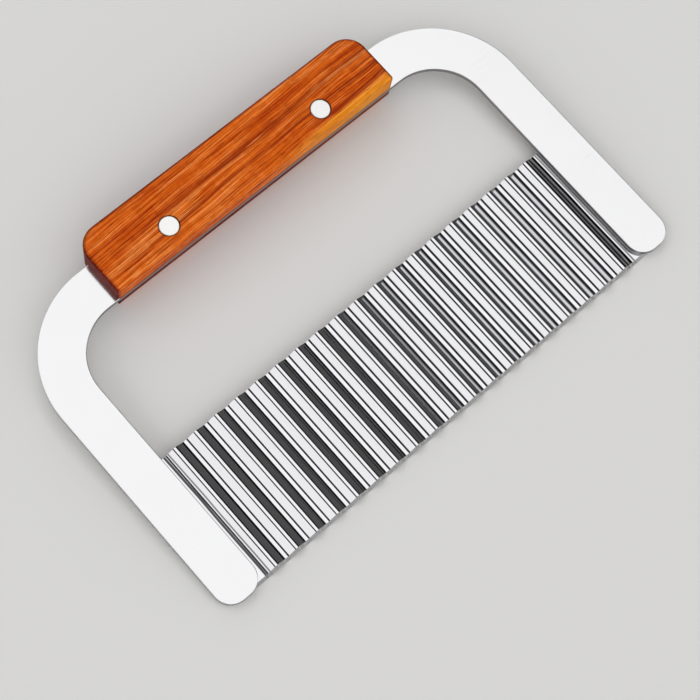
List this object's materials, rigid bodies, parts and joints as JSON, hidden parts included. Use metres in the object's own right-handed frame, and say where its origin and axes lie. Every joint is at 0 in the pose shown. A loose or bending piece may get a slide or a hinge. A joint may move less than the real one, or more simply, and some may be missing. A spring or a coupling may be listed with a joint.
{
  "type": "wavy soap cutter",
  "caption": "Hand cutter for soap: a corrugated steel blade spans a C-shaped flat steel frame, whose bar sits in the saw kerf of a riveted wooden handle.",
  "frame": {"origin": "under the middle of the whole cutter, in the plane of the handle's back face", "axes": "+X along the handle and the cutting edge, +Y from the cutting edge towards the handle, +Z out of the front face"},
  "size_m": [0.19, 0.1186, 0.017],
  "materials": {
    "frame_steel": "stainless sheet, finely polished to a soft even gloss, with lightly broken edges",
    "blade_steel": "thin stainless sheet, bright polished, almost mirror-like on the flanks of its waves",
    "handle_wood": "reddish orange hardwood with fine dark grain lines along the grip, oiled and lightly varnished",
    "rivet_metal": "bright turned rivet heads, sanded flush with the wood"
  },
  "bodies": {
    "root": {"frame": "frame_steel", "blade": "blade_steel", "handle": "handle_wood", "left_rivet_stud": "rivet_metal", "left_rivet_cap": "rivet_metal", "right_rivet_stud": "rivet_metal", "right_rivet_cap": "rivet_metal"}
  },
  "joints": []
}
